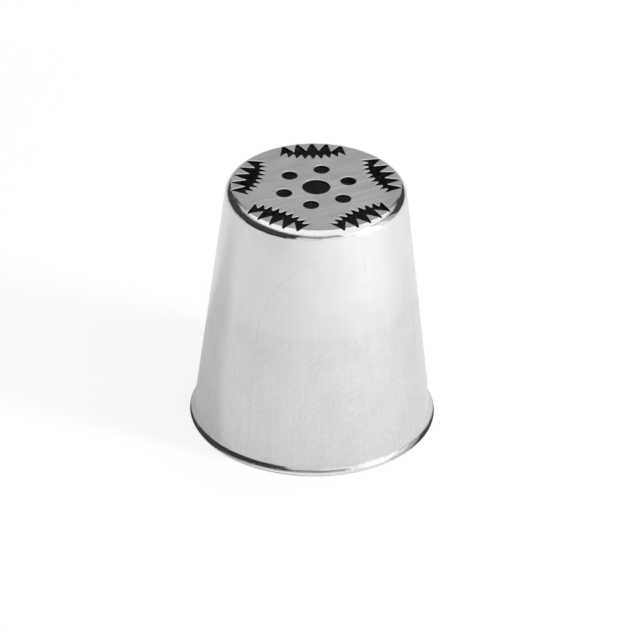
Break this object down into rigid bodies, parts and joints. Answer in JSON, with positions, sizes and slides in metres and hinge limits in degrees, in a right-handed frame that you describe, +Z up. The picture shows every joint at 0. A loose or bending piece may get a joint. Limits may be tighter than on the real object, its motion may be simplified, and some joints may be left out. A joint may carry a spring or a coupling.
{
  "type": "piping nozzle",
  "caption": "Seamless stainless steel piping nozzle: a tapered cup with a flared foot, its flat end punched with toothed slots round a ring of round holes.",
  "frame": {"origin": "centre of the foot, on the surface that the nozzle stands on", "axes": "+Z up the nozzle's axis, from the wide open foot to the flat punched end; +X through the middle of one toothed slot and the middle of one small round hole"},
  "size_m": [0.034, 0.034, 0.0362],
  "materials": {
    "stainless_steel": "satin drawn wall and fine-ground flat end, bright at the punched edges"
  },
  "bodies": {
    "root": {"nozzle": "stainless_steel"}
  },
  "joints": []
}
